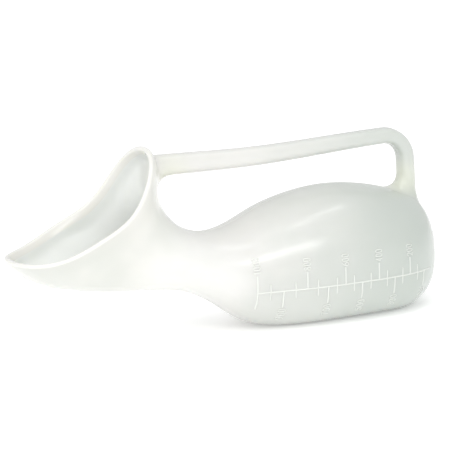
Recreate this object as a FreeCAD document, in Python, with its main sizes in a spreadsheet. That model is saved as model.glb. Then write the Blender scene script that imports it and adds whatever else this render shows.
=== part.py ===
"""Female urinal bottle: one blow-moulded vessel of translucent polyethylene with a loop handle.

Frame: +X runs from the mouth's tip to the rear base, +Y to the far side, +Z up. The bottle lies on
its flat underside at Z = 0, and the origin is at the bottom centre of its bounding box. The
graduated side faces -Y. All sizes are in millimetres. The X values below are the mould's own, and
each finished piece's Placement moves it by centre_shift, which puts the origin at mid-length.
"""

import FreeCAD
import Part

import math
import os

import Sketcher

V = FreeCAD.Vector
OUT = "parts"
SHEET = "Dimensions"

# Driving dimensions: alias, value, meaning.
SIZES = [
    ("wall", 1.3, "wall of the vessel, blow-moulded"),
    ("split_x", -24.0, "plane in the throat where the mouth funnel meets the reservoir"),
    ("rim_outside", 0.4, "how far the rolled edge stands out from the wall"),
    ("rim_inside", 2.0, "how far the rolled edge stands in from the wall"),
    ("rim_drop_x", 2.4, "how far the rolled edge reaches back from the opening, along X"),
    ("rim_drop_z", 3.6, "and how far down, along Z"),
    ("relief", 0.45, "height of the raised scale and of the parting lines"),
    ("seam_width", 0.9, "width of a parting line"),
    ("seam_stop", 1.0, "how far short of the rear base the parting line stops"),
    ("centre_shift", 1.4, "moves every piece so that the origin is at the middle of the length"),
    ("form_length", 400.0, "length of the blocks that trim the vessel's forms"),
    ("form_width", 140.0, "width of the same blocks"),
    ("form_height", 180.0, "height of the same blocks"),
    ("grip_front_x", -45.0, "where the grip leaves its front root"),
    ("grip_front_z", 123.4, "centre of the grip at its front end"),
    ("grip_front_tall", 14.6, "grip's height at its front end"),
    ("grip_front_wide", 17.0, "grip's width at its front end"),
    ("grip_middle_x", 25.0, "middle section of the grip"),
    ("grip_middle_z", 122.2, "centre of the grip there"),
    ("grip_middle_tall", 13.4, "grip's height there"),
    ("grip_middle_wide", 16.0, "grip's width there"),
    ("bend_x", 130.0, "where the grip turns down"),
    ("bend_z", 125.8, "centre of the grip there"),
    ("bend_radius", 18.7, "centre-line radius of the bend"),
    ("post_thick", 11.6, "post's size along X"),
    ("post_wide", 14.4, "post's size along Y"),
    ("post_foot_z", 91.0, "where the post meets its root"),
    ("bar_corner", 5.2, "corner radius of the handle's section"),
    ("bar_wall", 2.2, "wall of the handle"),
    ("front_root_tall", 20.0, "height of the front root against the funnel"),
    ("front_root_wide", 22.0, "width of the front root against the funnel"),
    ("front_root_x", -62.0, "end of the front root, inside the funnel's wall"),
    ("rear_root_thick", 19.0, "size along X of the rear root against the reservoir"),
    ("rear_root_wide", 24.0, "size along Y of the rear root against the reservoir"),
    ("rear_root_waist_z", 84.0, "height at which the rear root starts to flare"),
    ("rear_root_waist_thick", 12.4, "size along X there"),
    ("rear_root_waist_wide", 16.0, "size along Y there"),
    ("rear_root_z", 72.0, "end of the rear root, inside the reservoir's wall"),
    ("rear_root_lean", 1.6, "how far forward the rear root's end leans"),
    ("base_x", 160.5, "standing face of the rear base"),
    ("baseline_z", 30.5, "height of the scale's long line"),
    ("baseline_width", 1.3, "width of the scale's long line"),
    ("baseline_end_x", 144.0, "rear end of the scale's long line"),
    ("tick_length", 12.0, "length of a 100 ml mark"),
    ("tick_width", 1.4, "width of a 100 ml mark"),
    ("half_tick_length", 11.0, "length of a 50 ml mark, across the long line"),
    ("half_tick_width", 1.1, "width of a 50 ml mark"),
    ("digit_height", 4.8, "height of a numeral"),
    ("digit_width", 1.9, "width of a numeral, between stroke centres"),
    ("digit_pitch", 3.1, "distance from one numeral to the next"),
    ("digit_stroke", 0.85, "width of a numeral's stroke"),
    ("digit_gap", 1.2, "gap between a mark and its number"),
    ("scale_depth", 60.0, "depth of the prisms that the scale is cut from"),
]

# The vessel's cross-sections, from the mouth back to the rear base. Each one is an oval in a plane
# that holds the Y direction and the line from its low point to its high point (x, z), and it is
# widest half way up. Squareness 2 is an ellipse. The reservoir's lower half is squarer, so that
# the bottle lies flat. The last value says how square.
STATIONS = [
    ("mouth", -166.5, 72.5, -75.5, 145.0, 57.5, 2.2),
    ("lip", -150.0, 55.3, -57.3, 135.2, 47.2, 2.2),
    ("bowl", -127.5, 46.3, -54.2, 119.4, 39.8, 2.1),
    ("funnel", -97.5, 40.5, -54.6, 103.8, 34.4, 2.0),
    ("gullet", -60.0, 36.6, -42.8, 83.8, 31.8, 2.0),
    ("neck", -34.0, 31.3, -29.0, 75.3, 31.5, 2.0),
    ("throat", -14.0, 20.2, -14.0, 73.1, 33.5, 2.1),
    ("shoulder", 4.0, 7.1, 4.0, 77.0, 37.1, 2.3),
    ("chest", 24.0, 0.5, 24.0, 85.2, 42.1, 2.6),
    ("waist", 50.0, -0.8, 50.0, 92.4, 47.5, 3.0),
    ("belly", 85.0, -0.8, 85.0, 95.6, 50.4, 3.1),
    ("hip", 115.0, -0.8, 115.0, 91.5, 49.3, 3.1),
    ("haunch", 136.0, -0.6, 136.0, 85.8, 42.8, 2.6),
    ("heel", 149.5, 4.0, 149.5, 80.0, 33.2, 2.3),
    ("tail", 157.0, 11.0, 157.0, 71.2, 24.2, 2.2),
    ("base", 160.5, 19.0, 160.5, 62.5, 17.0, 2.1),
]
STATION_COLUMNS = ("low_x", "low_z", "high_x", "high_z", "half_width", "squareness")
RING_POINTS = 32
UPPER_SQUARENESS = 2.0

# Side profile of the scooped mouth, from beyond its tip to beyond its top: the vessel is open above.
SCOOP = [(-176.0, 71.5), (-164.5, 69.9), (-142.9, 71.3), (-109.4, 85.0), (-90.0, 95.5),
         (-72.2, 116.6), (-56.4, 149.0), (-49.5, 166.0)]

# Distance of each 100 ml mark from the rear base, on which the bottle stands to be read.
MARK_RISES = [(100, 24.5), (200, 39.3), (300, 53.0), (400, 66.0), (500, 79.5), (600, 92.6),
              (700, 105.8), (800, 121.0), (900, 138.0), (1000, 156.0)]

# Numerals as strokes on a grid two wide and four tall.
GLYPHS = {
    0: [(0, 0.7), (0, 3.3), (0.6, 4), (1.4, 4), (2, 3.3), (2, 0.7), (1.4, 0), (0.6, 0), (0, 0.7)],
    1: [(0.3, 3.3), (1.2, 4), (1.2, 0)],
    2: [(0, 3.2), (0.5, 4), (1.5, 4), (2, 3.2), (2, 2.5), (0, 0), (2, 0)],
    3: [(0, 3.6), (0.6, 4), (1.5, 4), (2, 3.4), (2, 2.6), (1.2, 2.1), (2, 1.5), (2, 0.6), (1.4, 0),
        (0.5, 0), (0, 0.5)],
    4: [(1.5, 0), (1.5, 4), (0, 1.3), (2, 1.3)],
    5: [(1.9, 4), (0.2, 4), (0, 2.2), (1.3, 2.5), (2, 1.8), (2, 0.7), (1.4, 0), (0.5, 0), (0, 0.5)],
    6: [(1.7, 4), (0.6, 3.2), (0, 1.8), (0, 0.7), (0.6, 0), (1.4, 0), (2, 0.7), (2, 1.5),
        (1.4, 2.2), (0.6, 2.2), (0, 1.5)],
    7: [(0, 4), (2, 4), (0.8, 0)],
    8: [(1, 2.1), (0.2, 2.8), (0.2, 3.5), (0.7, 4), (1.3, 4), (1.8, 3.5), (1.8, 2.8), (1, 2.1),
        (0, 1.4), (0, 0.6), (0.6, 0), (1.4, 0), (2, 0.6), (2, 1.4), (1, 2.1)],
}
GLYPHS[9] = [(2 - x, 4 - y) for x, y in GLYPHS[6]]
GLYPH_WIDTH = 2.0
GLYPH_HEIGHT = 4.0

doc = FreeCAD.newDocument("urinal_bottle")
sheet = doc.addObject("Spreadsheet::Sheet", SHEET)


def fill_sheet():
    """Write the driving dimensions and the stations into the spreadsheet, one alias each."""
    row = 1
    for alias, value, meaning in SIZES:
        sheet.set(f"A{row}", meaning)
        sheet.set(f"B{row}", str(value))
        sheet.setAlias(f"B{row}", alias)
        row += 1
    for station in STATIONS:
        for column, value in zip(STATION_COLUMNS, station[1:]):
            sheet.set(f"A{row}", f"station {station[0]}: {column}")
            sheet.set(f"B{row}", str(value))
            sheet.setAlias(f"B{row}", f"{station[0]}_{column}")
            row += 1
    for volume, rise in MARK_RISES:
        sheet.set(f"A{row}", f"distance of the {volume} ml mark from the rear base")
        sheet.set(f"B{row}", str(rise))
        sheet.setAlias(f"B{row}", f"rise_of_{volume}")
        row += 1
    doc.recompute()


def size(alias):
    """Value of one driving dimension."""
    return float(sheet.get(alias))


def bind(thing, **expressions):
    """Bind properties of an object to the spreadsheet; an alias may stand in a formula."""
    for name, formula in expressions.items():
        thing.setExpression(name.replace("__", "."), formula)


def ref(alias):
    """How an expression names a driving dimension."""
    return f"{SHEET}.{alias}"


def block(name, x, y, z, length, width, height):
    """A box whose corner and sizes are expressions."""
    box = doc.addObject("Part::Box", name)
    bind(box, Length=length, Width=width, Height=height,
         Placement__Base__x=x, Placement__Base__y=y, Placement__Base__z=z)
    return box


def boolean(kind, name, base, tool):
    """Part::Cut or Part::Common of two objects."""
    made = doc.addObject(kind, name)
    made.Base = base
    made.Tool = tool
    return made


def fuse(name, shapes):
    """Part::MultiFuse of several objects."""
    made = doc.addObject("Part::MultiFuse", name)
    made.Shapes = shapes
    return made


def feature(name, shape):
    """A free-form piece whose shape is computed here, with its place set after its shape."""
    made = doc.addObject("Part::Feature", name)
    made.Shape = shape
    made.Placement = FreeCAD.Placement()
    return made


# ---------------------------------------------------------------- the vessel's free-form skins


def oval(station, inset=0.0):
    """Points round one station's oval, drawn in by inset within its own plane."""
    low = V(size(f"{station}_low_x"), 0, size(f"{station}_low_z"))
    high = V(size(f"{station}_high_x"), 0, size(f"{station}_high_z"))
    centre = (low + high) * 0.5
    upward = (high - low).normalize()
    half_height = (high - low).Length / 2 - inset
    half_width = size(f"{station}_half_width") - inset
    points = []
    for index in range(RING_POINTS):
        angle = 2 * math.pi * index / RING_POINTS
        across = math.cos(angle)
        along = math.sin(angle)
        power = UPPER_SQUARENESS if along > 0 else size(f"{station}_squareness")
        reach = (abs(across) ** power + abs(along) ** power) ** (-1 / power)
        point = centre + upward * (half_height * reach * along)
        point.y = half_width * reach * across
        points.append(point)
    return points


def offset_rings(distance):
    """The stations' rings, moved off the skin by distance: outwards if positive."""
    names = [station[0] for station in STATIONS]
    rings = [oval(name) for name in names]
    moved = [oval(names[0], -distance)]
    for before, ring, after in zip(rings, rings[1:], rings[2:]):
        shifted = []
        for index, point in enumerate(ring):
            around = ring[(index + 1) % RING_POINTS] - ring[index - 1]
            rearward = after[index] - before[index]
            normal = around.cross(rearward).normalize()
            shifted.append(point + normal * distance)
        moved.append(shifted)
    last = oval(names[-1], -distance)
    moved.append([point + V(distance, 0, 0) for point in last])
    return moved


def closed_curve(points):
    """A smooth closed curve through evenly spread points, as a wire."""
    count = len(points)
    curve = Part.BSplineCurve()
    curve.interpolate(Points=points, PeriodicFlag=True,
                      Parameters=[index / count for index in range(count + 1)])
    return Part.Wire([curve.toShape()])


def skin(name, distance):
    """The vessel's closed form, at a distance off its outer skin."""
    return feature(name, Part.makeLoft([closed_curve(ring) for ring in offset_rings(distance)],
                                       True, False))


def above(name, form, level):
    """The part of a form that is higher than a level."""
    space = block(f"{name}_space", f"-{ref('form_length')} / 2", f"-{ref('form_width')} / 2",
                  level, ref("form_length"), ref("form_width"), ref("form_height"))
    return boolean("Part::Common", name, form, space)


def scoop_body(name, shift_x, shift_z):
    """Everything above the scooped mouth, as a sketch padded across the vessel and moved."""
    body = doc.addObject("PartDesign::Body", name)
    sketch = body.newObject("Sketcher::SketchObject", f"{name}_profile")
    sketch.AttachmentSupport = [(origin_plane(body, "XZ_Plane"), "")]
    sketch.MapMode = "FlatFace"
    curve = Part.BSplineCurve()
    curve.interpolate(Points=[V(x, z, 0) for x, z in SCOOP])
    sketch.addGeometry(curve, False)
    first = V(*SCOOP[0], 0)
    last = V(*SCOOP[-1], 0)
    top = size("form_height") + first.y
    corners = [last, V(last.x, top, 0), V(first.x, top, 0), first]
    for start, end in zip(corners, corners[1:]):
        sketch.addGeometry(Part.LineSegment(start, end), False)
    pad = body.newObject("PartDesign::Pad", f"{name}_pad")
    pad.Profile = sketch
    pad.SideType = "Symmetric"
    bind(pad, Length=ref("form_width"))
    bind(body, Placement__Base__x=shift_x, Placement__Base__z=shift_z)
    return body


# ---------------------------------------------------------------- the handle


def origin_plane(body, role):
    """One of a body's own origin planes or axes."""
    return next(item for item in body.Origin.OriginFeatures if item.Role == role)


def section_sketch(body, name, plane, shift, centre, sizes, corner):
    """A rounded rectangle on a plane parallel to one of the body's own, all sizes bound.

    shift is the distance along the plane's normal, and centre and sizes are pairs of expressions
    along the sketch's two directions.
    """
    sketch = body.newObject("Sketcher::SketchObject", name)
    sketch.AttachmentSupport = [(origin_plane(body, plane), "")]
    sketch.MapMode = "FlatFace"
    bind(sketch, __AttachmentOffset__Base__z=shift)
    hubs = [V(-4, 2, 0), V(4, 2, 0), V(4, -2, 0), V(-4, -2, 0)]
    quarter = math.pi / 2
    for index, hub in enumerate(hubs):
        turn = (1 - index) * quarter
        circle = Part.Circle(hub, V(0, 0, 1), 1)
        sketch.addGeometry(Part.ArcOfCircle(circle, turn, turn + quarter), False)
    ends = [(-4, 3), (4, 3), (5, 2), (5, -2), (4, -3), (-4, -3), (-5, -2), (-5, 2)]
    for start, end in zip(ends[::2], ends[1::2]):
        sketch.addGeometry(Part.LineSegment(V(*start, 0), V(*end, 0)), False)
    top, right, bottom, left = 4, 5, 6, 7
    constrain = sketch.addConstraint
    for arc, line in enumerate((top, right, bottom, left)):
        constrain(Sketcher.Constraint("Tangent", arc, 1, line, 1))
        constrain(Sketcher.Constraint("Tangent", line, 2, (arc + 1) % 4, 2))
    for arc in (1, 2, 3):
        constrain(Sketcher.Constraint("Equal", 0, arc))
    for line in (top, bottom):
        constrain(Sketcher.Constraint("Horizontal", line))
    for line in (left, right):
        constrain(Sketcher.Constraint("Vertical", line))
    measures = [
        (Sketcher.Constraint("Radius", 0, 1.0), corner),
        (Sketcher.Constraint("Distance", right, 1, left, 10.0), sizes[0]),
        (Sketcher.Constraint("Distance", top, 1, bottom, 6.0), sizes[1]),
        (Sketcher.Constraint("DistanceX", -1, 1, right, 1, 5.0), f"{centre[0]} + ({sizes[0]}) / 2"),
        (Sketcher.Constraint("DistanceY", -1, 1, top, 1, 3.0), f"{centre[1]} + ({sizes[1]}) / 2"),
    ]
    for constraint, formula in measures:
        index = constrain(constraint)
        sketch.setExpression(f"Constraints[{index}]", formula)
    return sketch


def loft(body, name, sketches):
    """PartDesign loft through the sketches."""
    made = body.newObject("PartDesign::AdditiveLoft", name)
    made.Profile = sketches[0]
    made.Sections = sketches[1:]
    return made


def handle_bar(name, growth):
    """The handle's bar, grown by an expression: the grip, its bend and the post below it."""
    body = doc.addObject("PartDesign::Body", name)
    corner = f"{ref('bar_corner')} + {growth}"
    sections = []
    for place, x, z in (("front", "grip_front_x", "grip_front_z"),
                        ("middle", "grip_middle_x", "grip_middle_z")):
        sizes = (f"{ref(f'grip_{place}_wide')} + 2 * {growth}",
                 f"{ref(f'grip_{place}_tall')} + 2 * {growth}")
        sections.append(section_sketch(body, f"{name}_{place}", "YZ_Plane", ref(x),
                                       ("0", ref(z)), sizes, corner))
    sizes = (f"{ref('post_wide')} + 2 * {growth}", f"{ref('post_thick')} + 2 * {growth}")
    rear = section_sketch(body, f"{name}_rear", "YZ_Plane", ref("bend_x"),
                          ("0", ref("bend_z")), sizes, corner)
    loft(body, f"{name}_grip", sections + [rear])
    spine = bend_spine(body, f"{name}_spine")
    pipe = body.newObject("PartDesign::AdditivePipe", f"{name}_bend_and_post")
    pipe.Profile = rear
    pipe.Spine = spine
    return body


def bend_spine(body, name):
    """The bend's quarter circle and the post's straight line, in the centre plane."""
    sketch = body.newObject("Sketcher::SketchObject", name)
    sketch.AttachmentSupport = [(origin_plane(body, "XZ_Plane"), "")]
    sketch.MapMode = "FlatFace"
    radius = size("bend_radius")
    hub = V(size("bend_x"), size("bend_z") - radius, 0)
    side = hub + V(radius, 0, 0)
    circle = Part.Circle(hub, V(0, 0, 1), radius)
    arc = sketch.addGeometry(Part.ArcOfCircle(circle, 0, math.pi / 2), False)
    foot = V(side.x, size("post_foot_z"), 0)
    line = sketch.addGeometry(Part.LineSegment(side, foot), False)
    constrain = sketch.addConstraint
    constrain(Sketcher.Constraint("Tangent", arc, 1, line, 1))
    constrain(Sketcher.Constraint("Vertical", line))
    constrain(Sketcher.Constraint("Vertical", arc, 2, arc, 3))
    measures = [
        (Sketcher.Constraint("Radius", arc, radius), ref("bend_radius")),
        (Sketcher.Constraint("DistanceX", -1, 1, arc, 2, hub.x), ref("bend_x")),
        (Sketcher.Constraint("DistanceY", -1, 1, arc, 2, size("bend_z")), ref("bend_z")),
        (Sketcher.Constraint("DistanceY", -1, 1, line, 2, foot.z), ref("post_foot_z")),
    ]
    for constraint, formula in measures:
        index = constrain(constraint)
        sketch.setExpression(f"Constraints[{index}]", formula)
    return sketch


def front_root_body():
    """Solid flare that joins the grip to the back of the funnel."""
    body = doc.addObject("PartDesign::Body", "front_root")
    centre = ("0", ref("grip_front_z"))
    corner = ref("bar_corner")
    grip_sizes = (ref("grip_front_wide"), ref("grip_front_tall"))
    wall_sizes = (ref("front_root_wide"), ref("front_root_tall"))
    at_grip = section_sketch(body, "front_root_at_grip", "YZ_Plane", ref("grip_front_x"),
                             centre, grip_sizes, corner)
    in_wall = section_sketch(body, "front_root_in_wall", "YZ_Plane", ref("front_root_x"),
                             centre, wall_sizes, corner)
    loft(body, "front_root_loft", [at_grip, in_wall])
    return body


def rear_root_body():
    """Solid flare that joins the post to the top of the reservoir."""
    body = doc.addObject("PartDesign::Body", "rear_root")
    corner = ref("bar_corner")
    levels = [("post_foot_z", "post_thick", "post_wide", "0"),
              ("rear_root_waist_z", "rear_root_waist_thick", "rear_root_waist_wide", "0.25"),
              ("rear_root_z", "rear_root_thick", "rear_root_wide", "1")]
    sketches = []
    for level, thick, wide, lean in levels:
        centre = (f"{ref('bend_x')} + {ref('bend_radius')} - {lean} * {ref('rear_root_lean')}", "0")
        sketches.append(section_sketch(body, f"rear_root_at_{level}", "XY_Plane", ref(level),
                                       centre, (ref(thick), ref(wide)), corner))
    loft(body, "rear_root_loft", sketches)
    return body


# ---------------------------------------------------------------- the raised scale


def stroke(start, end):
    """A numeral's stroke with round ends, as a face in the plane Y = 0."""
    half = size("digit_stroke") / 2
    along = (end - start).normalize() * half
    aside = V(-along.z, 0, along.x)
    edges = [Part.LineSegment(start + aside, end + aside).toShape(),
             Part.Arc(end + aside, end + along, end - aside).toShape(),
             Part.LineSegment(end - aside, start - aside).toShape(),
             Part.Arc(start - aside, start - along, start + aside).toShape()]
    return Part.Face(Part.Wire(edges))


def number_prism(number, centre_x, low_z):
    """A number's strokes, pushed through the near side. It reads upwards, top towards -X."""
    across = size("digit_width") / GLYPH_WIDTH
    upward = size("digit_height") / GLYPH_HEIGHT
    top_x = centre_x - size("digit_height") / 2
    faces = []
    for place, digit in enumerate(str(number)):
        left_z = low_z + place * size("digit_pitch")
        points = [V(top_x + (GLYPH_HEIGHT - row) * upward, 0, left_z + column * across)
                  for column, row in GLYPHS[int(digit)]]
        faces.extend(stroke(start, end) for start, end in zip(points, points[1:]))
    outline = faces[0].fuse(faces[1:]).removeSplitter()
    depth = size("scale_depth")
    prism = outline.translated(V(0, -depth, 0)).extrude(V(0, depth, 0))
    return feature(f"number_{number}", prism)


def mark_block(name, x, width, low, high):
    """A mark's prism at a distance x, between two heights given as expressions."""
    return block(name, f"{x} - {width} / 2", f"-{ref('scale_depth')}", low,
                 width, ref("scale_depth"), f"({high}) - ({low})")


def graduation(relief_skin, volume):
    """A 100 ml mark and its number, raised on the vessel's near side."""
    x = f"{ref('base_x')} - {ref(f'rise_of_{volume}')}"
    line_low = f"{ref('baseline_z')} - {ref('baseline_width')} / 2"
    line_high = f"{ref('baseline_z')} + {ref('baseline_width')} / 2"
    reach = f"{ref('baseline_z')} + {ref('tick_length')}"
    depth = f"{ref('baseline_z')} - {ref('tick_length')}"
    is_last = volume == MARK_RISES[-1][0]
    reads_down = volume // 100 % 2 == 1
    shapes = []
    if is_last or reads_down:
        shapes.append(mark_block(f"tick_down_{volume}", x, ref("tick_width"), depth, line_low))
    if is_last or not reads_down:
        shapes.append(mark_block(f"tick_up_{volume}", x, ref("tick_width"), line_high, reach))
    number_length = (len(str(volume)) - 1) * size("digit_pitch") + size("digit_width")
    clearance = size("tick_length") + size("digit_gap") + size("digit_stroke") / 2
    low_z = size("baseline_z") + clearance
    if reads_down:
        low_z = size("baseline_z") - clearance - number_length
    centre_x = size("base_x") - size(f"rise_of_{volume}")
    shapes.append(number_prism(volume, centre_x, low_z))
    form = fuse(f"graduation_form_{volume}", shapes)
    return boolean("Part::Common", f"graduation_{volume}", relief_skin, form)


def half_marks(relief_skin, line_form):
    """The short 50 ml marks across the long line, halfway between their neighbours."""
    low = f"{ref('baseline_z')} - {ref('half_tick_length')} / 2"
    high = f"{ref('baseline_z')} + {ref('half_tick_length')} / 2"
    shapes = []
    for (before, _), (after, _) in zip(MARK_RISES, MARK_RISES[1:]):
        x = f"{ref('base_x')} - ({ref(f'rise_of_{before}')} + {ref(f'rise_of_{after}')}) / 2"
        name = f"half_tick_{(before + after) // 2}"
        shapes.append(mark_block(name, x, ref("half_tick_width"), low, high))
    raised = boolean("Part::Common", "half_marks_form", relief_skin, fuse("half_ticks", shapes))
    return boolean("Part::Cut", "half_marks", raised, line_form)


def shell(name, outer, inner, keep=None, remove=None):
    """The wall between two forms, inside one object and outside another."""
    forms = []
    for side, form in (("outside", outer), ("inside", inner)):
        if keep:
            form = boolean("Part::Common", f"{name}_{side}_kept", form, keep)
        if remove:
            form = boolean("Part::Cut", f"{name}_{side}_open", form, remove)
        forms.append(form)
    return boolean("Part::Cut", name, *forms)


def build():
    """Make every sub-part, and return the finished ones by node name."""
    outer = above("outer_standing", skin("outer_form", 0.0), "0")
    inner = above("inner_standing", skin("inner_form", -size("wall")), ref("wall"))
    relief = above("relief_standing", skin("relief_form", size("relief")), "0")
    rim_outside = skin("rim_outside_form", size("rim_outside"))
    rim_inside = skin("rim_inside_form", -size("wall") - size("rim_inside"))
    length, width, height = (ref(f"form_{side}") for side in ("length", "width", "height"))
    rear_space = block("rear_space", ref("split_x"), f"-{width} / 2", "0", length, width, height)
    front_space = block("front_space", f"{ref('split_x')} - {length}", f"-{width} / 2", "0",
                        length, width, height)
    side_space = block("side_space", ref("split_x"), f"-{ref('scale_depth')}", "0",
                       length, ref("scale_depth"), ref("scale_depth"))
    seam_plate = block("seam_plate", f"{ref('base_x')} - {ref('seam_stop')} - {length}",
                       f"-{ref('seam_width')} / 2", "0", length, ref("seam_width"), height)
    scoop = scoop_body("scoop", "0", "0")
    lip_scoop = scoop_body("lip_scoop", ref("rim_drop_x"), f"-{ref('rim_drop_z')}")
    rim = shell("rim_bead", rim_outside, rim_inside, lip_scoop, scoop)
    front_root = front_root_body()
    rear_root = rear_root_body()
    bar = handle_bar("handle_bar", "0")
    bar_cavity = handle_bar("handle_cavity", f"(-1) * {ref('bar_wall')}")
    bar_relief = handle_bar("handle_relief", ref("relief"))
    seam_slice = boolean("Part::Common", "seam_slice", relief, seam_plate)
    seam_band = boolean("Part::Cut", "seam_band", seam_slice, outer)
    relief_skin = shell("relief_skin", relief, outer, side_space)
    handle_band = boolean("Part::Common", "handle_band", bar_relief, seam_plate)
    line_form = block("line_form", f"{ref('base_x')} - {ref('rise_of_1000')}",
                      f"-{ref('scale_depth')}", f"{ref('baseline_z')} - {ref('baseline_width')} / 2",
                      f"{ref('baseline_end_x')} - {ref('base_x')} + {ref('rise_of_1000')}",
                      ref("scale_depth"), ref("baseline_width"))
    front_root_open = boolean("Part::Cut", "front_root_outside", front_root, outer)
    parts = {
        "reservoir": shell("reservoir", outer, inner, rear_space),
        "mouth_funnel": shell("mouth_funnel", outer, inner, front_space, lip_scoop),
        "rim_bead": rim,
        "handle": boolean("Part::Cut", "handle", bar, bar_cavity),
        "front_handle_root": boolean("Part::Cut", "front_handle_root", front_root_open, rim),
        "rear_handle_root": boolean("Part::Cut", "rear_handle_root", rear_root, outer),
        "vessel_seam": boolean("Part::Cut", "vessel_seam", seam_band,
                               fuse("seam_trim", [front_root, rear_root, lip_scoop])),
        "handle_seam": boolean("Part::Cut", "handle_seam", handle_band, bar),
        "scale_baseline": boolean("Part::Common", "scale_baseline", relief_skin, line_form),
    }
    for volume, _ in MARK_RISES:
        parts[f"graduation_{volume}"] = graduation(relief_skin, volume)
    parts["half_marks"] = half_marks(relief_skin, line_form)
    return parts


def check_and_write(parts):
    """Stop if any object failed or any shape is broken, and write each sub-part."""
    for thing in parts.values():
        bind(thing, Placement__Base__x=ref("centre_shift"))
    doc.recompute()
    for thing in doc.Objects:
        if {"Invalid", "Error"} & set(thing.State):
            raise RuntimeError(f"{thing.Name} failed: {thing.State}")
    os.makedirs(OUT, exist_ok=True)
    for node, thing in parts.items():
        shape = thing.Shape
        if shape.isNull() or not shape.isValid() or not shape.Solids:
            raise RuntimeError(f"{node} has no valid solid")
        thing.Label = node
        shape.exportStep(f"{OUT}/{node}.step")
        print(node, len(shape.Solids), "solids", round(shape.Volume), "mm3")


fill_sheet()
check_and_write(build())
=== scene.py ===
"""Looks of the female urinal bottle: a blow-moulded vessel of translucent polyethylene.

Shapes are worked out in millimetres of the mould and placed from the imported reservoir's box. The
vessel is one closed double-walled grid, from the rear base over the rolled rim and back inside.
"""
import math

import bpy
import numpy as np
from mathutils import Matrix, Vector
from mathutils.bvhtree import BVHTree

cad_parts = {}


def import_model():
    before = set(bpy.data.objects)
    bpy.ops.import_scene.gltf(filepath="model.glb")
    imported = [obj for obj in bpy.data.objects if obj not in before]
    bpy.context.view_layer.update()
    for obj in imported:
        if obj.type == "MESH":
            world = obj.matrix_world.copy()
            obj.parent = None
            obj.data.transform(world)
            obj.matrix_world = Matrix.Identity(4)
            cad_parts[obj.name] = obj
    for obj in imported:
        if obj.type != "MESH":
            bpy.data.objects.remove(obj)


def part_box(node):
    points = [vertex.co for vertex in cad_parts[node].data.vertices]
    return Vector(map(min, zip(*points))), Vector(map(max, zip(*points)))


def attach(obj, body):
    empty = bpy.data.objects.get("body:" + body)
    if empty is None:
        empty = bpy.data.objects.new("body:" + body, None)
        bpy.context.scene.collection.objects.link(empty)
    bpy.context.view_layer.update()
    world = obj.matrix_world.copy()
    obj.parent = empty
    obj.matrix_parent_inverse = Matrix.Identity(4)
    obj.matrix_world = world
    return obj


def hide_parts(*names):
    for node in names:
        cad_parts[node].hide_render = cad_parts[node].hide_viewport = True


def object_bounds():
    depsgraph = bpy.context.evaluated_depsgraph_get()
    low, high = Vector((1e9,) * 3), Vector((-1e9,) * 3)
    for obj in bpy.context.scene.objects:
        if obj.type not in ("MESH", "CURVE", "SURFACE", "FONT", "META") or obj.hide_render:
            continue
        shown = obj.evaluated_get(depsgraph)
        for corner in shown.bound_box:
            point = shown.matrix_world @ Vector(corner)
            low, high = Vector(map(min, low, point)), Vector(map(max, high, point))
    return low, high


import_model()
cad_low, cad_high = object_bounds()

MM = 0.001
BODY = "root"

# ---------------------------------------------------------------- sizes, in millimetres

BASE_X = 160.5
SHIFT_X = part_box("reservoir")[1].x / MM - BASE_X

# Cross-sections of the vessel from the mouth back to the rear base: the low point's x and z, the
# high point's x and z, half the width, and how square the lower half is (2 is an ellipse).
STATIONS = np.array([
    (-166.5, 72.5, -75.5, 145.0, 57.5, 2.2),
    (-150.0, 55.3, -57.3, 135.2, 47.2, 2.2),
    (-127.5, 46.3, -54.2, 119.4, 39.8, 2.1),
    (-97.5, 40.5, -54.6, 103.8, 34.4, 2.0),
    (-60.0, 36.6, -42.8, 83.8, 31.8, 2.0),
    (-34.0, 31.3, -29.0, 75.3, 31.5, 2.0),
    (-14.0, 20.2, -14.0, 73.1, 33.5, 2.1),
    (4.0, 7.1, 4.0, 77.0, 37.1, 2.3),
    (24.0, 0.5, 24.0, 85.2, 42.1, 2.6),
    (50.0, -0.8, 50.0, 92.4, 47.5, 3.0),
    (85.0, -0.8, 85.0, 95.6, 50.4, 3.1),
    (115.0, -0.8, 115.0, 91.5, 49.3, 3.1),
    (136.0, -0.6, 136.0, 85.8, 42.8, 2.6),
    (149.5, 4.0, 149.5, 80.0, 33.2, 2.3),
    (157.0, 11.0, 157.0, 71.2, 24.2, 2.2),
    (160.5, 19.0, 160.5, 62.5, 17.0, 2.1),
])
UPPER_SQUARENESS = 2.0

# Side profile of the scooped mouth (x, z): the vessel is open above it.
SCOOP = np.array([(-176.0, 71.5), (-164.5, 69.9), (-142.9, 71.3), (-109.4, 85.0), (-90.0, 95.5),
                  (-72.2, 116.6), (-56.4, 149.0), (-49.5, 166.0)])

WALL = 1.3
FLOOR_BLEND = 0.3          # how softly the form turns into the flat underside
ANGLES = 240               # grid lines round the vessel
BODY_ROWS = 170            # grid rows from the rim to the rear corner
CORNER = 4.0               # size of the rounded rear corner
CORNER_ROWS = 9
CAP_ROWS = 18
PUSH_UP = 0.8              # depth of the hollow in the rear base
HOLLOW_EDGE = 0.85         # share of the base's width at which the hollow starts
HOLLOW_BLEND = 0.45        # and the share over which it reaches its depth

SCOOP_SAMPLES = 600        # how finely curves are sampled before grid points are taken from them
RIM_SAMPLES = 1600
LINE_SAMPLES = 900
SLANT_SAMPLE = 6           # the sample that shows which way a grid line leaves the rim
NOT_SCOOPED = -1000.0      # height given to points behind the mouth

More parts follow.
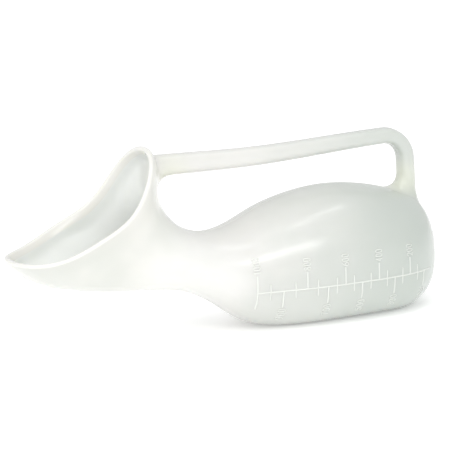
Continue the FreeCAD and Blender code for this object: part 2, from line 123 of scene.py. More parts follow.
LIP_OUT = 0.4              # how far the rolled rim stands out from the wall
LIP_IN = 2.0               # and in from the wall
LIP_RISE = 2.4             # from the rim's top to its widest
LIP_HOLD = 3.0             # down to here it keeps its thickness
LIP_END = 16.0             # and here it has thinned to the wall
LIP_CURL_ROWS = 8          # rows from the rim's top to its widest
LIP_SIDE_ROWS = 10         # rows from there to a little below its end
LIP_OVERRUN = 1.0
BELOW_LIP = 100.0          # distance below the rim given to all the other rows
LIP_OUTSIDE_ROWS = 5       # rows of the outer skin in the rim's lighter colour, a painted highlight
LIP_INSIDE_ROWS = 9        # and of the inner skin

SCALE_Z = 30.5
LINE_END_X = 144.0
LINE_WIDTH = 1.3
TICK_LENGTH = 12.0
TICK_WIDTH = 1.4
HALF_TICK_LENGTH = 11.0
HALF_TICK_WIDTH = 1.1
DIGIT_HEIGHT = 4.8
DIGIT_WIDTH = 1.9
DIGIT_PITCH = 3.1
DIGIT_STROKE = 0.9
DIGIT_GAP = 1.2
STROKE_STEP = 0.6          # distance between the rings of a stroke
BESIDE_Y = -80.0           # a place beside the bottle, from which strokes are cast onto it
RELIEF = 0.42
SUNK = 0.3                 # how far the raised strokes reach into the wall
FOOT_DEPTH = 0.2           # and their flat foot below that
RIDGE_POINTS = 9           # points over a stroke's rounded top
RIDGE_FULLNESS = 0.8       # 1 is half an ellipse, smaller is fuller
END_RINGS = 4              # rings that round off a stroke's end
LEAST_END = 0.12           # share of the width that is left at its tip

# Distance of each 100 ml mark from the rear base.
MARK_RISES = {100: 24.5, 200: 39.3, 300: 53.0, 400: 66.0, 500: 79.5, 600: 92.6,
              700: 105.8, 800: 121.0, 900: 138.0, 1000: 156.0}

# Numerals as strokes on a grid two wide and four tall.
GLYPHS = {
    "0": [(0, 0.7), (0, 3.3), (0.6, 4), (1.4, 4), (2, 3.3), (2, 0.7), (1.4, 0), (0.6, 0), (0, 0.7)],
    "1": [(0.3, 3.3), (1.2, 4), (1.2, 0)],
    "2": [(0, 3.2), (0.5, 4), (1.5, 4), (2, 3.2), (2, 2.5), (0, 0), (2, 0)],
    "3": [(0, 3.6), (0.6, 4), (1.5, 4), (2, 3.4), (2, 2.6), (1.2, 2.1), (2, 1.5), (2, 0.6),
          (1.4, 0), (0.5, 0), (0, 0.5)],
    "4": [(1.5, 0), (1.5, 4), (0, 1.3), (2, 1.3)],
    "5": [(1.9, 4), (0.2, 4), (0, 2.2), (1.3, 2.5), (2, 1.8), (2, 0.7), (1.4, 0), (0.5, 0),
          (0, 0.5)],
    "6": [(1.7, 4), (0.6, 3.2), (0, 1.8), (0, 0.7), (0.6, 0), (1.4, 0), (2, 0.7), (2, 1.5),
          (1.4, 2.2), (0.6, 2.2), (0, 1.5)],
    "7": [(0, 4), (2, 4), (0.8, 0)],
    "8": [(1, 2.1), (0.2, 2.8), (0.2, 3.5), (0.7, 4), (1.3, 4), (1.8, 3.5), (1.8, 2.8), (1, 2.1),
          (0, 1.4), (0, 0.6), (0.6, 0), (1.4, 0), (2, 0.6), (2, 1.4), (1, 2.1)],
}
GLYPHS["9"] = [(2 - x, 4 - y) for x, y in GLYPHS["6"]]
GLYPH_WIDTH = 2.0
GLYPH_HEIGHT = 4.0

# The grip's centre line (x, z), then the bend's and the post's.
GRIP_LINE = np.array([(-34.0, 123.3), (25.0, 122.2), (118.0, 125.5), (130.0, 125.8)])
BEND_RADIUS = 18.7
POST_FOOT_Z = 106.0
# Places along the handle, as shares of its length, with its height across the line and its width.
BAR_SIZES = np.array([(0.0, 14.6, 17.0), (0.33, 13.4, 16.0), (0.82, 11.7, 14.6),
                      (0.93, 11.6, 14.4), (1.0, 11.9, 14.9)])
BAR_SQUARENESS = 2.7
BAR_ANGLES = 96
BAR_STEP = 1.2             # distance between the handle's rings
GRIP_SAMPLES = 160
BEND_SAMPLES = 40
# Fillets where the handle meets the vessel: above, beside and below the bar at its front root,
# and behind, beside and in front of the post at its rear root.
FRONT_FILLET = (3.0, 8.0, 17.0)
REAR_FILLET = (13.0, 9.5, 18.0)
FILLET_ROWS = 12
ROOT_SUNK = 0.06           # depth of a fillet's foot below the vessel's skin
ROOT_CLOSING = (0.93, 0.75, 0.5, 0.25)     # shares of the foot's size as the root closes
ROOT_DEPTH = 0.45 * WALL   # how deep in the wall it closes

SEAM_WIDTH = 0.9
SEAM_HEIGHT = 0.22
SEAM_LEAST_Z = 1.2         # the line keeps clear of the flat underside,
SEAM_FIRST_ROW = 15        # of the rim,
SEAM_END_GAP = 0.5         # and of the rear base
SEAM_LEAST_ROWS = 7        # shorter stretches of it are left out


# ---------------------------------------------------------------- curves

def cubic(knots, values, at):
    """Natural cubic spline through values at knots."""
    count = len(knots)
    steps = np.diff(knots)
    matrix = np.eye(count)
    right = np.zeros_like(values, dtype=float)
    for i in range(1, count - 1):
        matrix[i, i - 1:i + 2] = steps[i - 1], 2 * (steps[i - 1] + steps[i]), steps[i]
        right[i] = 6 * ((values[i + 1] - values[i]) / steps[i]
                        - (values[i] - values[i - 1]) / steps[i - 1])
    bend = np.linalg.solve(matrix, right)
    at = np.asarray(at, float)
    k = np.clip(np.searchsorted(knots, at, side="right") - 1, 0, count - 2)
    width = steps[k][..., None]
    ahead = knots[k + 1][..., None] - at[..., None]
    behind = at[..., None] - knots[k][..., None]
    return ((bend[k] * ahead ** 3 + bend[k + 1] * behind ** 3) / (6 * width)
            + (values[k] / width - bend[k] * width / 6) * ahead
            + (values[k + 1] / width - bend[k + 1] * width / 6) * behind)


def lengths_along(points):
    """Distance of each point from the first, along the last but one axis."""
    gaps = np.linalg.norm(np.diff(points, axis=-2), axis=-1)
    start = np.zeros(gaps.shape[:-1] + (1,))
    return np.concatenate([start, np.cumsum(gaps, axis=-1)], axis=-1)


def smooth_step(value):
    """0 below 0, 1 above 1, and smooth between."""
    value = np.clip(value, 0.0, 1.0)
    return value * value * (3 - 2 * value)


def unit(vectors):
    """Vectors at length 1."""
    return vectors / np.maximum(np.linalg.norm(vectors, axis=-1, keepdims=True), 1e-12)


# ---------------------------------------------------------------- the vessel's form

STATION_KNOTS = (lengths_along(STATIONS[:, 0:2]) + lengths_along(STATIONS[:, 2:4])) / 2
FORM_END = STATION_KNOTS[-1]


def vessel_form(place, angle):
    """Point of the vessel's outer form: place runs from the mouth to the base, angle round it."""
    row = cubic(STATION_KNOTS, STATIONS, place)
    low_x, low_z, high_x, high_z, half_width, squareness = np.moveaxis(row, -1, 0)
    across, along = np.cos(angle), np.sin(angle)
    power = np.where(along > 0, UPPER_SQUARENESS, squareness)
    reach = (np.abs(across) ** power + np.abs(along) ** power) ** (-1 / power)
    x = (low_x + high_x) / 2 + reach * along * (high_x - low_x) / 2
    z = (low_z + high_z) / 2 + reach * along * (high_z - low_z) / 2
    z = (z + np.sqrt(z * z + FLOOR_BLEND ** 2)) / 2
    return np.stack([x, half_width * reach * across, z], axis=-1)


def above_scoop(points):
    """How far points are above the mouth's opening."""
    knots = lengths_along(SCOOP)
    curve = cubic(knots, SCOOP, np.linspace(0, knots[-1], SCOOP_SAMPLES))
    height = np.interp(points[..., 0], curve[:, 0], curve[:, 1])
    return np.where(points[..., 0] < SCOOP[-1, 0], points[..., 2] - height, NOT_SCOOPED)


def rim_places(angles):
    """Where each grid line comes out at the mouth's rim."""
    places = np.linspace(0, FORM_END, RIM_SAMPLES)
    over = above_scoop(vessel_form(places[None, :], angles[:, None]))
    last = over.shape[1] - 1 - np.argmax(over[:, ::-1] > 0, axis=1)
    lines = np.arange(len(angles))
    before, after = over[lines, last], over[lines, last + 1]
    share = before / (before - after)
    return places[last] + share * (places[last + 1] - places[last])


def lip_profile(depth):
    """Offsets of the outer and inner skins, at a distance from the rim's top."""
    middle = (LIP_OUT - WALL - LIP_IN) / 2
    half = (LIP_OUT + WALL + LIP_IN) / 2
    rise = np.sqrt(np.clip(1 - (1 - np.minimum(depth, LIP_RISE) / LIP_RISE) ** 2, 0, 1))
    fade = smooth_step((depth - LIP_HOLD) / (LIP_END - LIP_HOLD))
    outer = (middle + half * rise) * (1 - fade)
    inner = (middle - half * rise) * (1 - fade) - WALL * fade
    return outer, inner


def vessel_rows():
    """The outer form's grid from the rim to the base's middle.

    With it come each row's distance below the rim, and the middle point of the base.
    """
    angles = np.arange(ANGLES) * 2 * math.pi / ANGLES
    rims = rim_places(angles)
    share = np.linspace(0, 1, LINE_SAMPLES)
    places = rims[:, None] + share[None, :] * (FORM_END - rims[:, None])
    lines = vessel_form(places, angles[:, None])
    runs = lengths_along(lines)
    rim = lines[:, 0]
    rim_way = unit(np.roll(rim, -1, axis=0) - np.roll(rim, 1, axis=0))
    line_way = unit(lines[:, SLANT_SAMPLE] - lines[:, 0])
    slant = np.linalg.norm(np.cross(rim_way, line_way), axis=1)

    turn = np.linspace(0, math.pi / 2, LIP_CURL_ROWS)
    lip_side = np.linspace(LIP_RISE, LIP_END + LIP_OVERRUN, LIP_SIDE_ROWS + 1)[1:]
    lip = np.concatenate([LIP_RISE * (1 - np.cos(turn)), lip_side])
    lip_runs = lip[None, :] / slant[:, None]
    start = lip_runs[:, -1:]
    end = runs[:, -1:] - CORNER
    body_share = np.linspace(0, 1, BODY_ROWS + 1)[1:]
    body_runs = start + body_share[None, :] * (end - start)
    wanted = np.concatenate([lip_runs, body_runs], axis=1)
    found = np.stack([np.interp(w, r, p) for w, r, p in zip(wanted, runs, places)])
    side = vessel_form(found, angles[:, None])

    edge = lines[:, -1]
    centre = np.array([BASE_X, 0.0, (STATIONS[-1, 1] + STATIONS[-1, 3]) / 2])
    inward = edge + CORNER * unit(centre - edge)
    bow = np.linspace(0, 1, CORNER_ROWS + 1)[1:, None]
    start = side[:, -1]
    corner = np.stack([(1 - b) ** 2 * start + 2 * b * (1 - b) * edge + b * b * inward
                       for b in bow], axis=1)
    shrink = np.linspace(1, 0, CAP_ROWS + 1)[1:-1]
    cap = np.stack([centre + (inward - centre) * s for s in shrink], axis=1)
    hollow = PUSH_UP * smooth_step((HOLLOW_EDGE - shrink) / HOLLOW_BLEND)
    cap[:, :, 0] -= hollow[None, :]
    grid = np.concatenate([side, corner, cap], axis=1).transpose(1, 0, 2)
    depth = np.full(grid.shape[0], BELOW_LIP)
    depth[:len(lip)] = lip
    pole = centre - np.array([PUSH_UP, 0, 0])
    return grid, depth, pole


def grid_normals(grid):
    """Outward normals of a grid of rows round the vessel."""
    around = np.roll(grid, -1, axis=1) - np.roll(grid, 1, axis=1)
    rearward = np.gradient(grid, axis=0)
    return unit(np.cross(around, rearward))


# ---------------------------------------------------------------- meshes

def new_piece(name, points, faces, slot, *materials):
    """A piece from points in millimetres of the mould. Its faces start with the first material."""
    mesh = bpy.data.meshes.new(name)
    placed = (np.asarray(points, float) + np.array([SHIFT_X, 0, 0])) * MM
    mesh.from_pydata(placed.tolist(), [], faces)
    mesh.validate()
    mesh.shade_smooth()
    mesh.update()
    piece = bpy.data.objects.new(name, mesh)
    bpy.context.scene.collection.objects.link(piece)
    for material in materials:
        mesh.materials.append(material)
    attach(piece, BODY)
    return piece


def grid_faces(first, rows, columns, flip=False):
    """Quads between neighbouring rows of a grid closed round its columns."""
    faces = []
    for row in range(rows - 1):
        for column in range(columns):
            beside = (column + 1) % columns
            low, high = first + row * columns, first + (row + 1) * columns
            face = (low + column, low + beside, high + beside, high + column)
            faces.append(face[::-1] if flip else face)
    return faces


def pole_faces(first, columns, pole, flip=False):
    """Triangles from a ring to a single point."""
    faces = []
    for column in range(columns):
        face = (first + column, first + (column + 1) % columns, pole)
        faces.append(face[::-1] if flip else face)
    return faces


def vessel_mesh():
    """Points and faces of the closed double-walled vessel, and its outer skin for other pieces."""
    grid, depth, pole = vessel_rows()
    normals = grid_normals(grid)
    out, inside = lip_profile(depth)
    outer = grid + normals * out[:, None, None]
    outer[..., 0] = np.maximum(outer[..., 0], cad_low.x / MM - SHIFT_X)
    inner = grid[1:] + normals[1:] * inside[1:, None, None]
    rows = len(grid)
    outer_pole = rows * ANGLES
    inner_first = outer_pole + 1
    inner_pole = inner_first + (rows - 1) * ANGLES
    points = np.concatenate([outer.reshape(-1, 3), [pole], inner.reshape(-1, 3),
                             [pole - np.array([WALL, 0, 0])]])
    outer_faces = grid_faces(0, rows, ANGLES)
    outer_faces += pole_faces((rows - 1) * ANGLES, ANGLES, outer_pole)
    faces = outer_faces + grid_faces(inner_first, rows - 1, ANGLES, flip=True)
    faces += pole_faces(inner_first + (rows - 2) * ANGLES, ANGLES, inner_pole, flip=True)
    for column in range(ANGLES):
        beside = (column + 1) % ANGLES
        faces.append((inner_first + column, inner_first + beside, beside, column))
    skin = BVHTree.FromPolygons([Vector(p) for p in points[:inner_first]], outer_faces)
    return points, faces, len(outer_faces), skin, outer, normals


def nearest_on(skin, point):
    """Nearest point of the vessel's skin, with its normal."""
    place, normal, _, _ = skin.find_nearest(Vector(point))
    return np.array(place), np.array(normal)


def hit_on(skin, start, way):
    """Where a line meets the vessel's skin, with its outward normal."""
    place, normal, _, _ = skin.ray_cast(Vector(start), Vector(way))
    return np.array(place), np.array(normal)


# ---------------------------------------------------------------- raised lines

def ridge(points, normals, width, height):
    """Points and faces of a rounded line that stands on a surface and reaches a little into it."""
    points = np.asarray(points, float)
    normals = unit(np.asarray(normals, float))
    ways = unit(np.gradient(points, axis=0))
    sides = unit(np.cross(normals, ways))
    turn = np.linspace(0, math.pi / 2, END_RINGS + 1)[:-1]
    reach = np.cos(turn) * width / 2
    keep = np.maximum(np.sin(turn), LEAST_END)
    head = points[0] - ways[0] * reach[:, None]
    tail = (points[-1] + ways[-1] * reach[:, None])[::-1]
    shares = np.concatenate([keep, np.ones(len(points)), keep[::-1]])
    points = np.concatenate([head, points, tail])
    normals = np.pad(normals, ((END_RINGS, END_RINGS), (0, 0)), mode="edge")
    sides = np.pad(sides, ((END_RINGS, END_RINGS), (0, 0)), mode="edge")
    bow = np.linspace(-1, 1, RIDGE_POINTS) * math.pi / 2
    across = np.sin(bow) * width / 2
    lift = np.cos(bow) ** RIDGE_FULLNESS * (height + SUNK) - SUNK
    foot_lift = -SUNK - FOOT_DEPTH
    foot = np.array([(width / 2, foot_lift), (-width / 2, foot_lift)])
    profile = np.concatenate([np.stack([across, lift], axis=1), foot])
    count = len(profile)
    rings = [p + s * k * profile[:, :1] + n * (profile[:, 1:] * k - (1 - k) * SUNK)
             for p, n, s, k in zip(points, normals, sides, shares)]
    faces = grid_faces(0, len(points), count, flip=True)
    faces.append(tuple(range(count)))
    last = (len(points) - 1) * count
    faces.append(tuple(last + i for i in range(count))[::-1])
    return np.concatenate(rings), faces


def join(parts):
    """Several point and face lists as one."""
    points, faces, first = [], [], 0
    for part_points, part_faces in parts:
        points.append(part_points)
        faces.extend(tuple(first + i for i in face) for face in part_faces)
        first += len(part_points)
    return np.concatenate(points), faces


def near_side_line(skin, corners):
    """Points and normals on the vessel's near side over a path of (x, z) corners."""
    corners = np.asarray(corners, float)
    runs = lengths_along(corners)
    count = max(3, int(round(runs[-1] / STROKE_STEP)) + 1)
    at = np.linspace(0, runs[-1], count)
    path = np.stack([np.interp(at, runs, corners[:, 0]), np.interp(at, runs, corners[:, 1])], axis=1)
    found = [hit_on(skin, (x, BESIDE_Y, z), (0, 1, 0)) for x, z in path]
    return np.array([f[0] for f in found]), np.array([f[1] for f in found])


def raised_stroke(skin, corners, width):
    """A rounded stroke on the near side."""
    points, normals = near_side_line(skin, corners)
    return ridge(points, normals, width, RELIEF)


def number_strokes(skin, number, centre_x, low_z):
    """A number's strokes: it reads along +Z, with its top towards -X."""
    parts = []
    for place, digit in enumerate(str(number)):
        left_z = low_z + place * DIGIT_PITCH
        path = [(centre_x - DIGIT_HEIGHT / 2 + (GLYPH_HEIGHT - row) * DIGIT_HEIGHT / GLYPH_HEIGHT,
                 left_z + column * DIGIT_WIDTH / GLYPH_WIDTH) for column, row in GLYPHS[digit]]
        parts += [raised_stroke(skin, pair, DIGIT_STROKE) for pair in zip(path, path[1:])]
    return parts


def graduation(skin, volume, material):
    """A 100 ml mark and its number: odd hundreds read below the long line, even ones above."""
    x = BASE_X - MARK_RISES[volume]
    is_last = volume == max(MARK_RISES)
    reads_down = volume // 100 % 2 == 1
    parts = []
    if is_last or reads_down:
        parts.append(raised_stroke(skin, [(x, SCALE_Z), (x, SCALE_Z - TICK_LENGTH)], TICK_WIDTH))
    if is_last or not reads_down:
        parts.append(raised_stroke(skin, [(x, SCALE_Z), (x, SCALE_Z + TICK_LENGTH)], TICK_WIDTH))
    clearance = TICK_LENGTH + DIGIT_GAP + DIGIT_STROKE / 2
    number_length = (len(str(volume)) - 1) * DIGIT_PITCH + DIGIT_WIDTH
    low_z = SCALE_Z - clearance - number_length if reads_down else SCALE_Z + clearance
    parts += number_strokes(skin, volume, x, low_z)
    piece = new_piece(f"mark_{volume}_ml", *join(parts), "scale", material)
    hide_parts(f"graduation_{volume}")


def scale(skin, material):
    """The long line, the 100 ml marks with their numbers, and the 50 ml marks."""
    first_x = BASE_X - MARK_RISES[1000]
    points, normals = near_side_line(skin, [(first_x, SCALE_Z), (LINE_END_X, SCALE_Z)])
    line = new_piece("scale_line", *ridge(points, normals, LINE_WIDTH, RELIEF), "scale", material)
    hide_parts("scale_baseline")
    for volume in MARK_RISES:
        graduation(skin, volume, material)
    rises = list(MARK_RISES.values())
    reach = HALF_TICK_LENGTH / 2
    halves = []
    for before, after in zip(rises, rises[1:]):
        x = BASE_X - (before + after) / 2
        ends = [(x, SCALE_Z - reach), (x, SCALE_Z + reach)]
        halves.append(raised_stroke(skin, ends, HALF_TICK_WIDTH))
    piece = new_piece("marks_50_ml", *join(halves), "scale", material)
    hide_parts("half_marks")


# ---------------------------------------------------------------- the handle

def handle_line():
    """Centre line of the handle from its front root to the post's foot, as (x, 0, z) points."""
    knots = lengths_along(GRIP_LINE)
    grip = cubic(knots, GRIP_LINE, np.linspace(0, knots[-1], GRIP_SAMPLES))
    end_x, end_z = GRIP_LINE[-1]
    turn = np.linspace(0, math.pi / 2, BEND_SAMPLES)[1:]
    bend = np.stack([end_x + BEND_RADIUS * np.sin(turn),
                     end_z - BEND_RADIUS * (1 - np.cos(turn))], axis=1)
    post = np.array([(end_x + BEND_RADIUS, POST_FOOT_Z)])
    line = np.concatenate([grip, bend, post])
    runs = lengths_along(line)
    at = np.linspace(0, runs[-1], int(runs[-1] / BAR_STEP))
    flat = np.stack([np.interp(at, runs, line[:, i]) for i in (0, 1)], axis=1)
    return np.stack([flat[:, 0], np.zeros(len(flat)), flat[:, 1]], axis=1)


def handle_rings():
    """Rings of the handle's bar, their centres, and the ways across them."""
    centres = handle_line()
    ways = unit(np.gradient(centres, axis=0))
    ups = np.stack([-ways[:, 2], np.zeros(len(ways)), ways[:, 0]], axis=1)
    share = lengths_along(centres) / lengths_along(centres)[-1]
    sizes = cubic(BAR_SIZES[:, 0], BAR_SIZES[:, 1:], share)
    angle = np.arange(BAR_ANGLES) * 2 * math.pi / BAR_ANGLES
    across, along = np.cos(angle), np.sin(angle)
    reach = (np.abs(across) ** BAR_SQUARENESS
             + np.abs(along) ** BAR_SQUARENESS) ** (-1 / BAR_SQUARENESS)
    side = np.array([0.0, 1.0, 0.0])
    rings = [c + u * (t / 2) * (reach * along)[:, None] + side * (w / 2) * (reach * across)[:, None]
             for c, u, (t, w) in zip(centres, ups, sizes)]
    return np.array(rings), centres, ways, ups


def root_rings(skin, ring, centre, way, fillets):
    """Rings that carry the bar's end in a fillet onto the vessel, then close it just under the skin."""
    above, beside, below = fillets
    angle = np.arange(BAR_ANGLES) * 2 * math.pi / BAR_ANGLES
    lift = np.sin(angle)
    radii = beside + (np.where(lift > 0, above, below) - beside) * lift ** 2
    starts, corners, feet = [], [], []
    for point, radius in zip(ring, radii):
        corner, normal = hit_on(skin, point, way)
        outward = point - centre
        outward = unit(outward - normal * (outward @ normal))
        foot, foot_normal = nearest_on(skin, corner + outward * radius)
        starts.append(corner - way * radius)
        corners.append(corner)
        feet.append(foot - foot_normal * ROOT_SUNK)
    starts, corners, feet = np.array(starts), np.array(corners), np.array(feet)
    bow = np.linspace(0, 1, FILLET_ROWS)[:, None, None]
    rings = list((1 - bow) ** 2 * starts + 2 * bow * (1 - bow) * corners + bow * bow * feet)
    middle = feet.mean(axis=0)
    for shrink in ROOT_CLOSING:
        closing = []
        for point in middle + (feet - middle) * shrink:
            place, normal = nearest_on(skin, point)
            closing.append(place - normal * ROOT_DEPTH)
        rings.append(np.array(closing))
    return rings


def handle(skin, material):
    """The loop handle with its two roots, and the parting line round it."""
    rings, centres, ways, ups = handle_rings()
    front = root_rings(skin, rings[0], centres[0], -ways[0], FRONT_FILLET)
    rear = root_rings(skin, rings[-1], centres[-1], ways[-1], REAR_FILLET)
    stacked = np.array(front[::-1] + list(rings) + rear)
    count = len(stacked)
    middles = [stacked[0].mean(axis=0), stacked[-1].mean(axis=0)]
    points = np.concatenate([stacked.reshape(-1, 3), middles])
    faces = grid_faces(0, count, BAR_ANGLES)
    faces += pole_faces(0, BAR_ANGLES, count * BAR_ANGLES, flip=True)
    faces += pole_faces((count - 1) * BAR_ANGLES, BAR_ANGLES, count * BAR_ANGLES + 1)
    piece = new_piece("loop_handle", points, faces, "handle", material)
    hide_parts("handle", "front_handle_root", "rear_handle_root")
    top, bottom = BAR_ANGLES // 4, 3 * BAR_ANGLES // 4
    lines = [ridge(rings[:, top], ups, SEAM_WIDTH, SEAM_HEIGHT),
             ridge(rings[:, bottom], -ups, SEAM_WIDTH, SEAM_HEIGHT)]
    seam = new_piece("handle_parting_line", *join(lines), "handle", material)
    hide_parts("handle_seam")


def vessel_parting_line(outer, normals, material):
    """The mould's parting line along the top and the underside, away from the flat it lies on."""
    parts = []
    for column in (ANGLES // 4, 3 * ANGLES // 4):
        line, ways = outer[:, column], normals[:, column]
        clear = (line[:, 2] > SEAM_LEAST_Z) & (line[:, 0] < BASE_X - SEAM_END_GAP)
        clear &= np.arange(len(line)) >= SEAM_FIRST_ROW
        breaks = np.flatnonzero(np.diff(clear.astype(int))) + 1
        for rows in np.split(np.arange(len(line)), breaks):
            if clear[rows[0]] and len(rows) >= SEAM_LEAST_ROWS:
                parts.append(ridge(line[rows], ways[rows], SEAM_WIDTH, SEAM_HEIGHT))
    seam = new_piece("vessel_parting_line", *join(parts), "vessel", material)
    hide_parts("vessel_seam")


# ---------------------------------------------------------------- materials

class Nodes:
    """A short way to build a node material."""

    def __init__(self, name):
        self.material = bpy.data.materials.new(name)
        self.material.use_nodes = True
        self.tree = self.material.node_tree
        self.shader = self.tree.nodes["Principled BSDF"]
        self.where = self.add("ShaderNodeTexCoord").outputs["Object"]

    def add(self, kind, **settings):
        node = self.tree.nodes.new(kind)
        for key, value in settings.items():
            setattr(node, key, value)
        return node

    def link(self, start, end):
        self.tree.links.new(start, end)

    def noise(self, scale, detail=3.0, stretch=(1, 1, 1)):
        """Noise over the row frame, in metres, stretched along an axis where its factor is small."""
        mapping = self.add("ShaderNodeMapping")
        mapping.inputs["Scale"].default_value = stretch
        self.link(self.where, mapping.inputs["Vector"])
        noise = self.add("ShaderNodeTexNoise")
        noise.inputs["Scale"].default_value = scale
        noise.inputs["Detail"].default_value = detail
        self.link(mapping.outputs["Vector"], noise.inputs["Vector"])
        return noise.outputs["Fac"]

    def ramp(self, value, from_low, from_high, to_low=0.0, to_high=1.0):
        """A value moved smoothly from one range to another."""
        node = self.add("ShaderNodeMapRange", interpolation_type="SMOOTHSTEP")
        self.link(value, node.inputs["Value"])
        for key, number in (("From Min", from_low), ("From Max", from_high),
                            ("To Min", to_low), ("To Max", to_high)):
            node.inputs[key].default_value = number
        return node.outputs["Result"]

    def near(self, place, radius):
        """1 at a place of the row frame, falling to 0 at a radius."""
        node = self.add("ShaderNodeVectorMath", operation="DISTANCE")
        self.link(self.where, node.inputs[0])
        node.inputs[1].default_value = place
        return self.ramp(node.outputs["Value"], 0.0, radius, 1.0, 0.0)

    def along(self, axis, low, high):
        """0 below one place on an axis of the row frame, 1 above the other."""
        node = self.add("ShaderNodeSeparateXYZ")
        self.link(self.where, node.inputs["Vector"])
        return self.ramp(node.outputs[axis], low, high)

    def mix(self, share, first, second):
        """Two colours, or a colour output and a colour, mixed."""
        node = self.add("ShaderNodeMix", data_type="RGBA")
        self.link(share, node.inputs["Factor"])
        for socket, value in ((node.inputs[6], first), (node.inputs[7], second)):
            if isinstance(value, tuple):
                socket.default_value = (*value, 1.0)
            else:
                self.link(value, socket)
        return node.outputs[2]

    def bump(self, height, distance, strength, after=None):
        """Relief in the surface from a height between 0 and 1."""
        node = self.add("ShaderNodeBump")
        node.inputs["Distance"].default_value = distance
        node.inputs["Strength"].default_value = strength
        self.link(height, node.inputs["Height"])
        if after is not None:
            self.link(after, node.inputs["Normal"])
        return node.outputs["Normal"]


# Places in the row frame, in metres, where the colour changes: painted light at the throat, painted
# shade towards the rear, yellower plastic at the roots.
FRONT_ROOT = Vector((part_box("front_handle_root")[1].x, 0.0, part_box("front_handle_root")[0].z))
REAR_ROOT = Vector((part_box("rear_handle_root")[0].x, 0.0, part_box("rear_handle_root")[1].z))
# Middle of the painted light round the throat.
THROAT = Vector((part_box("scale_baseline")[0].x - 0.045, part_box("reservoir")[0].y * 0.6, 0.045))
# Over this span along x the colour darkens towards the rear: painted shade.
REAR_SHADE_SPAN = (cad_low.x * 0.1, cad_high.x * 0.95)
# Below the post's foot the handle takes the vessel's rear colour, painted shade included.
POST_FOOT = (0.078, 0.102)
THROAT_RADIUS = 0.065
ROOT_RADII = ((FRONT_ROOT, 0.030), (REAR_ROOT, 0.028))

# Linear colours: at the bottle's front, and at its rear; the darker rear ones are painted shade.
VESSEL_COLOURS = (0.74, 0.735, 0.70), (0.49, 0.535, 0.495)
# Lighter and bluer than the outer wall, for the inside of the mouth: painted light against its shade,
# with the shade's blue tint painted in.
INNER_LIT_COLOURS = (0.77, 0.785, 0.765), (0.62, 0.65, 0.62)
# Lighter than the wall and not darker at the rear: a painted highlight on the rolled rim.
RIM_HIGHLIGHT_COLOURS = (0.765, 0.76, 0.725), (0.765, 0.76, 0.725)
HANDLE_COLOURS = (0.775, 0.76, 0.735), (0.57, 0.60, 0.565)
SCALE_COLOURS = (0.79, 0.80, 0.76), (0.67, 0.70, 0.66)
SEAM_COLOURS = (0.76, 0.755, 0.72), (0.57, 0.61, 0.57)
# Colour of the painted light round the throat.
THROAT_LIGHT = (0.90, 0.90, 0.86)
YELLOW = (0.75, 0.76, 0.64)


def polyethylene(name, colours, subsurface, coat=0.8, foot=None):
    """Blow-moulded polyethylene: painted light at the throat, darker towards the rear as painted shade,
    yellower at the roots.
    """
    nodes = Nodes(name)
    front, rear = colours
    # Darker towards the rear: painted shade.
    colour = nodes.mix(nodes.along("X", *REAR_SHADE_SPAN), front, rear)
    if foot is not None:
        colour = nodes.mix(nodes.along("Z", *POST_FOOT), foot, colour)
    cloud = nodes.ramp(nodes.noise(16.0), 0.35, 0.65, 0.0, 0.35)
    colour = nodes.mix(cloud, colour, rear)
    # Lighter round the throat: painted light.
    throat_light_share = nodes.ramp(nodes.near(THROAT, THROAT_RADIUS), 0.0, 0.8, 0.0, 0.5)
    colour = nodes.mix(throat_light_share, colour, THROAT_LIGHT)
    for place, radius in ROOT_RADII:
        yellow = nodes.ramp(nodes.near(place, radius), 0.0, 1.0, 0.0, 0.6)
        colour = nodes.mix(yellow, colour, YELLOW)
    nodes.link(colour, nodes.shader.inputs["Base Color"])
    waxy = nodes.ramp(nodes.noise(90.0, 4.0), 0.3, 0.7, 0.30, 0.40)
    nodes.link(waxy, nodes.shader.inputs["Roughness"])
    flow = nodes.noise(60.0, 3.0, (0.12, 1.0, 1.0))
    grain = nodes.noise(1800.0, 2.0)
    surface = nodes.bump(flow, 0.0004, 0.25)
    surface = nodes.bump(grain, 0.00004, 0.35, surface)
    nodes.link(surface, nodes.shader.inputs["Normal"])
    for key, value in (("IOR", 1.5), ("Subsurface Weight", subsurface),
                       ("Subsurface Radius", (1.0, 1.0, 0.9)), ("Subsurface Scale", 0.0035),
                       ("Coat Weight", coat), ("Coat Roughness", 0.19)):
        nodes.shader.inputs[key].default_value = value
    return nodes.material


def lay_plastics(vessel, outer_count):
    """The rim's lighter colour, a painted highlight, over the lip, and the inner colour, painted light,
    below it on the inside.

    The vessel's faces are its outer skin, its inner skin, then the ring that joins them at the top.
    """
    polygons = vessel.data.polygons
    inside_first = outer_count + ANGLES * LIP_INSIDE_ROWS
    top_first = len(polygons) - ANGLES
    inner, rim = 1, 2
    for start, end, index in ((0, ANGLES * LIP_OUTSIDE_ROWS, rim), (outer_count, inside_first, rim),
                              (inside_first, top_first, inner), (top_first, len(polygons), rim)):
        for face in polygons[start:end]:
            face.material_index = index


# ---------------------------------------------------------------- camera, light and floor

VIEW_AZIMUTH = math.radians(-24.95)
VIEW_ELEVATION = math.radians(9.74)
VIEW_ROLL = math.radians(-3.28)
VIEW_DISTANCE = 1.387
VIEW_LENS = 156.0
VIEW_LIFT = Vector((0.8, 0.7, 5.4)) * MM       # from the box's centre to the middle of the picture


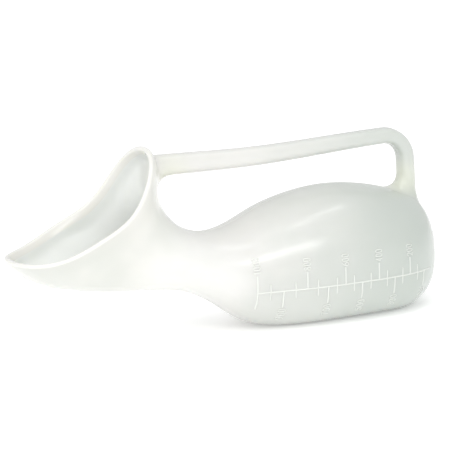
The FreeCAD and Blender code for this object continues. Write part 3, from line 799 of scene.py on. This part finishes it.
def camera():
    """A long lens from the front left of the graduated side, a little above the bottle."""
    data = bpy.data.cameras.new("camera")
    data.lens = VIEW_LENS
    data.sensor_width = 36.0
    thing = bpy.data.objects.new("camera", data)
    bpy.context.scene.collection.objects.link(thing)
    back = Vector((math.sin(VIEW_AZIMUTH) * math.cos(VIEW_ELEVATION),
                   -math.cos(VIEW_AZIMUTH) * math.cos(VIEW_ELEVATION), math.sin(VIEW_ELEVATION)))
    target = (cad_low + cad_high) / 2 + VIEW_LIFT
    turn = (-back).to_track_quat("-Z", "Y").to_matrix().to_4x4()
    thing.matrix_world = (Matrix.Translation(target + back * VIEW_DISTANCE) @ turn
                          @ Matrix.Rotation(VIEW_ROLL, 4, "Z"))
    bpy.context.scene.camera = thing


def area_light(name, place, target, size, power):
    """A soft box at a place, turned towards a target."""
    data = bpy.data.lights.new(name, "AREA")
    data.shape = "RECTANGLE"
    data.size, data.size_y = size
    data.energy = power
    light = bpy.data.objects.new(name, data)
    bpy.context.scene.collection.objects.link(light)
    light.location = place
    light.rotation_mode = "QUATERNION"
    light.rotation_quaternion = (Vector(target) - Vector(place)).to_track_quat("-Z", "Y")


def sun_light(name, direction, strength, spread):
    """An even light from a direction, as soft as a sky of that many degrees across."""
    data = bpy.data.lights.new(name, "SUN")
    data.energy = strength
    data.angle = math.radians(spread)
    light = bpy.data.objects.new(name, data)
    bpy.context.scene.collection.objects.link(light)
    light.rotation_mode = "QUATERNION"
    light.rotation_quaternion = Vector(direction).to_track_quat("Z", "Y")


FLOOR_REACH = 12.0


def floor(material):
    """A wide pale floor."""
    mesh = bpy.data.meshes.new("studio_floor")
    corners = [(x * FLOOR_REACH, y * FLOOR_REACH, 0) for x, y in ((-1, -1), (1, -1), (1, 1), (-1, 1))]
    mesh.from_pydata(corners, [], [(0, 1, 2, 3)])
    mesh.materials.append(material)
    thing = bpy.data.objects.new("studio_floor", mesh)
    bpy.context.scene.collection.objects.link(thing)


def floor_material():
    """Matt white paper, faintly lit from below as on a light table."""
    nodes = Nodes("studio_paper")
    colour = nodes.mix(nodes.noise(3.0), (0.95, 0.95, 0.95), (0.97, 0.97, 0.97))
    nodes.link(colour, nodes.shader.inputs["Base Color"])
    nodes.shader.inputs["Roughness"].default_value = 0.9
    nodes.shader.inputs["Specular IOR Level"].default_value = 0.0
    nodes.shader.inputs["Emission Color"].default_value = (1.0, 1.0, 1.0, 1.0)
    nodes.shader.inputs["Emission Strength"].default_value = 0.20
    return nodes.material


def world(strength):
    """An even white surround."""
    surround = bpy.data.worlds.new("studio")
    surround.use_nodes = True
    background = surround.node_tree.nodes["Background"]
    background.inputs["Color"].default_value = (1.0, 1.0, 1.0, 1.0)
    background.inputs["Strength"].default_value = strength
    bpy.context.scene.world = surround


# ---------------------------------------------------------------- the picture

vessel_plastic = polyethylene("milky_polyethylene", VESSEL_COLOURS, 0.55)
# The inner colour is painted light and a painted bluish shade tint.
inner_lit_plastic = polyethylene("inner_polyethylene", INNER_LIT_COLOURS, 0.55, 0.1)
handle_plastic = polyethylene("handle_polyethylene", HANDLE_COLOURS, 0.5, foot=VESSEL_COLOURS[1])
scale_plastic = polyethylene("scale_polyethylene", SCALE_COLOURS, 0.0)
seam_plastic = polyethylene("seam_polyethylene", SEAM_COLOURS, 0.0, 0.3)
# The rim's colour is a painted highlight.
rim_highlight_plastic = polyethylene("rim_polyethylene", RIM_HIGHLIGHT_COLOURS, 0.55, 1.0)

vessel_points, vessel_faces, outer_count, vessel_skin, vessel_outer, vessel_normals = vessel_mesh()
vessel = new_piece("vessel", vessel_points, vessel_faces, "vessel", vessel_plastic, inner_lit_plastic,
                   rim_highlight_plastic)
lay_plastics(vessel, outer_count)
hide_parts("reservoir", "mouth_funnel", "rim_bead")
vessel_parting_line(vessel_outer, vessel_normals, seam_plastic)
handle(vessel_skin, handle_plastic)
scale(vessel_skin, scale_plastic)

floor(floor_material())
world(0.80)
sun_light("overhead", (-0.75, -0.45, 0.75), 0.95, 80.0)
area_light("near_strip", (-0.02, -1.05, 0.60), (0.03, 0, 0.05), (0.5, 0.24), 1.7)
area_light("high_strip", (0.30, -0.30, 1.2), (0.05, 0, 0.07), (0.8, 0.06), 0.9)
area_light("rim_strip", (-0.78, -0.62, 1.05), (-0.1, 0, 0.09), (0.4, 0.08), 0.3)
camera()
bpy.context.scene.view_settings.view_transform = "Standard"
